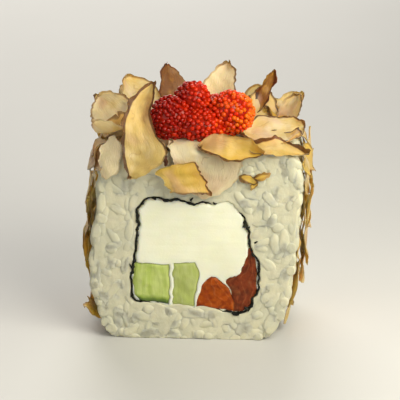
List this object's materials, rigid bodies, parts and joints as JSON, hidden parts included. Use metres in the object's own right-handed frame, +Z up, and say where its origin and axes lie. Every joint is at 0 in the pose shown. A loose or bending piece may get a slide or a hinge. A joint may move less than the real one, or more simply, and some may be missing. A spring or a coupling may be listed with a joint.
{
  "type": "uramaki roll slice",
  "caption": "Slice of inside-out sushi roll on its side: rice round seaweed, soft cheese, cucumber and salmon, topped with dried-fish shavings and red roe.",
  "frame": {"origin": "middle of the flat underside that the slice rests on, halfway between the two cut faces", "axes": "+X across the cut face to the right, +Y from the front cut face to the back one, +Z up"},
  "size_m": [0.0475, 0.0303, 0.0514],
  "materials": {
    "rice": "moist, slightly sticky cooked grains",
    "seaweed": "matt, damp, nearly black green",
    "cheese": "smooth soft cheese with a low sheen",
    "cucumber": "wet cut flesh with dark green skin below",
    "salmon": "moist, with pale fat lines",
    "roe": "glossy, translucent small eggs",
    "shaving": "thin, dry, translucent, with browned edges"
  },
  "bodies": {
    "root": {"rice_ring": "rice", "seaweed_sheet": "seaweed", "soft_cheese": "cheese", "cucumber_stick_left": "cucumber", "cucumber_stick_right": "cucumber", "salmon_strip_low": "salmon", "salmon_strip_side": "salmon", "roe_clump": "roe", "shaving_bed": "shaving", "shaving_petal_left": "shaving", "shaving_drape_front": "shaving", "shaving_amber_front": "shaving", "shaving_lens_front": "shaving", "shaving_lens_right": "shaving", "shaving_broad_right": "shaving", "shaving_upright_right": "shaving", "shaving_petal_back": "shaving", "shaving_curl_back": "shaving", "shaving_wing_left": "shaving", "shaving_fold_left": "shaving", "shaving_drape_back": "shaving", "shaving_drape_right": "shaving", "shaving_drape_left": "shaving", "shaving_side_right_1": "shaving", "shaving_side_right_2": "shaving", "shaving_side_right_3": "shaving", "shaving_side_right_4": "shaving", "shaving_side_right_5": "shaving", "shaving_side_left_1": "shaving", "shaving_side_left_2": "shaving", "shaving_side_left_3": "shaving", "shaving_side_left_4": "shaving", "shaving_side_left_5": "shaving"}
  },
  "joints": []
}
